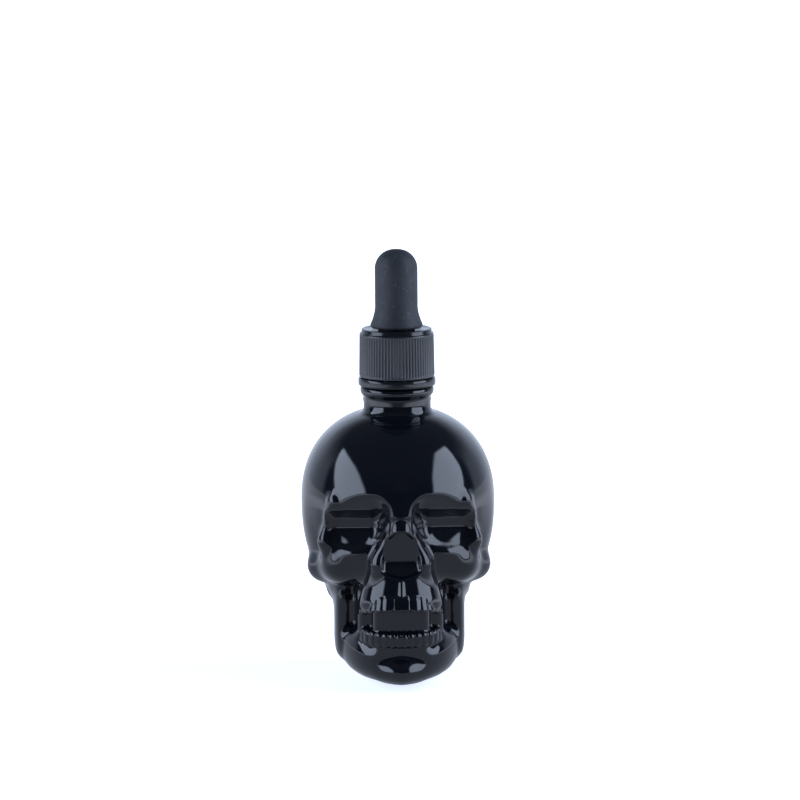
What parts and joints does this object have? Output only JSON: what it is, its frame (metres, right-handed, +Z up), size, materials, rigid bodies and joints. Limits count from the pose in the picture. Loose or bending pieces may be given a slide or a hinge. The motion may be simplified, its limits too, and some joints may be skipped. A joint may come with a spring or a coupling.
{
  "type": "skull dropper bottle",
  "caption": "Hollow glass bottle in the shape of a skull, with a screw cap, tamper ring, rubber bulb and glass pipette for dispensing liquid by the drop.",
  "frame": {"origin": "on the surface it stands on, at the middle of its outline, which is the axis of the neck", "axes": "+Z up along the neck and the screw cap's axis, -Y the way the face looks, +X to the right of someone who faces it"},
  "size_m": [0.0554, 0.0679, 0.1229],
  "materials": {
    "black_glass": "opaque black glass, glossy",
    "cap_plastic": "black moulded plastic, satin",
    "band_plastic": "black moulded plastic, smooth",
    "bulb_rubber": "black rubber, matt",
    "clear_glass": "clear drawn glass"
  },
  "bodies": {
    "bottle": {"bottle": "black_glass", "tamper_ring": "band_plastic"},
    "dropper": {"bulb": "bulb_rubber", "pipette": "clear_glass"},
    "cap": {"cap": "cap_plastic"}
  },
  "joints": [
    {"name": "dropper_lift", "type": "slide", "parent": "bottle", "child": "dropper", "axis": [0, 0, 1], "range_m": [0, 0.0061]},
    {"name": "cap_turn", "type": "hinge", "parent": "dropper", "child": "cap", "pos_m": [0, 0, 0.0932], "axis": [0, 0, 1], "range_deg": [0, 720]}
  ],
  "couplings": [
    {"joint": "dropper_lift", "follows": "cap_turn", "m_per_rad": 0.00047746}
  ]
}
